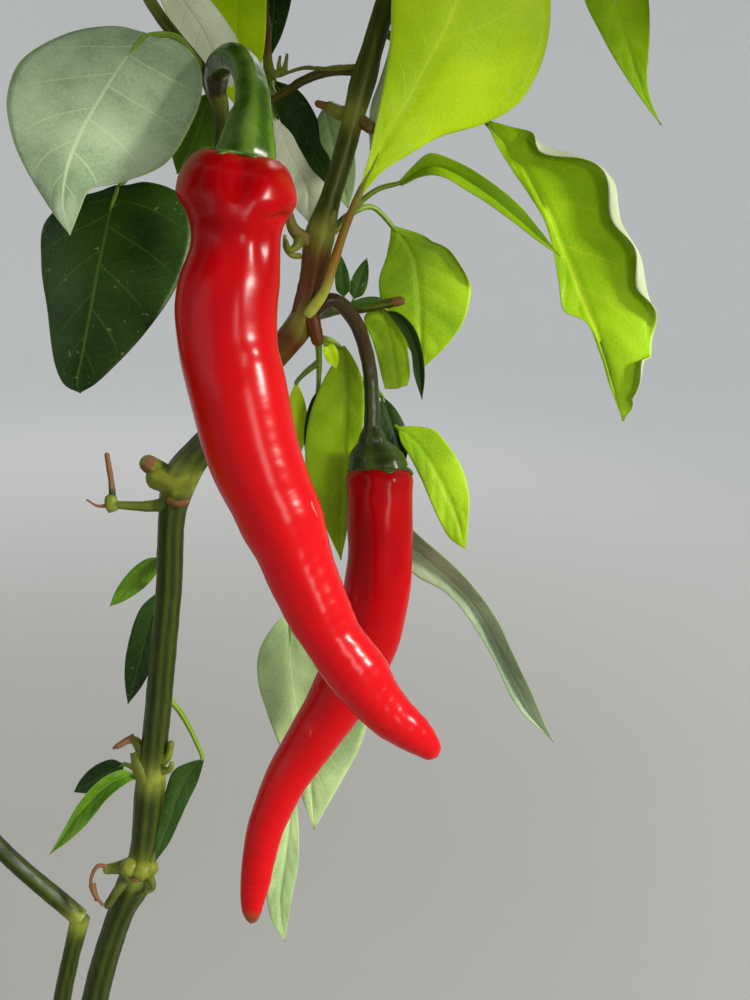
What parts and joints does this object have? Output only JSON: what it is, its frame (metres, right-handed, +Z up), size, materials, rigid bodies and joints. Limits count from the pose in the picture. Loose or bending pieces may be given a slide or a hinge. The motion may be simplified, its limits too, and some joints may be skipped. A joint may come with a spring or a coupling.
{
  "type": "chilli pepper plant",
  "caption": "Rooted pepper plant with a leaning stem, forking boughs, leafy masses and long ripe hanging chillies.",
  "frame": {"origin": "centre of the flat cut of the main stem at ground level", "axes": "+Z up, +X to the right and -Y towards the viewer of the side that carries the large chillies"},
  "size_m": [0.4303, 0.352, 0.6297],
  "materials": {
    "stem": "green ridged bark",
    "bough": "green, satin",
    "stalk": "green, satin",
    "ripe_skin": "glossy red",
    "front_leaf": "satin leaf green",
    "crown_leaf": "satin leaf green"
  },
  "bodies": {
    "root": {"main_stem": "stem", "side_stem": "stem", "side_arm": "stem", "right_bough": "bough", "left_bough": "bough", "rear_bough": "bough", "left_outer_bough": "bough", "left_front_bough": "bough", "right_outer_bough": "bough", "right_front_bough": "bough", "rear_left_bough": "bough", "rear_right_bough": "bough", "front_chilli": "ripe_skin", "front_chilli_stalk": "stalk", "second_chilli": "ripe_skin", "second_chilli_stalk": "stalk", "left_chilli": "ripe_skin", "left_chilli_stalk": "stalk", "right_chilli": "ripe_skin", "right_chilli_stalk": "stalk", "rear_chilli": "ripe_skin", "rear_chilli_stalk": "stalk", "left_front_leaves": "front_leaf", "upper_left_leaf": "front_leaf", "upper_rear_leaves": "front_leaf", "centre_leaves": "front_leaf", "leaf_behind_bough": "front_leaf", "great_upper_leaf": "front_leaf", "far_upper_leaf": "front_leaf", "upper_right_leaf": "front_leaf", "middle_right_leaves": "front_leaf", "fork_right_leaves": "front_leaf", "low_right_leaves": "front_leaf", "hanging_back_leaves": "front_leaf", "low_left_leaves": "front_leaf", "low_stem_leaves": "front_leaf", "behind_stem_leaves": "front_leaf", "crown_left": "crown_leaf", "crown_far_left": "crown_leaf", "crown_front_left": "crown_leaf", "crown_right": "crown_leaf", "crown_far_right": "crown_leaf", "crown_front_right": "crown_leaf", "crown_rear": "crown_leaf", "crown_rear_left": "crown_leaf", "crown_rear_right": "crown_leaf", "low_left_mass": "crown_leaf"}
  },
  "joints": []
}
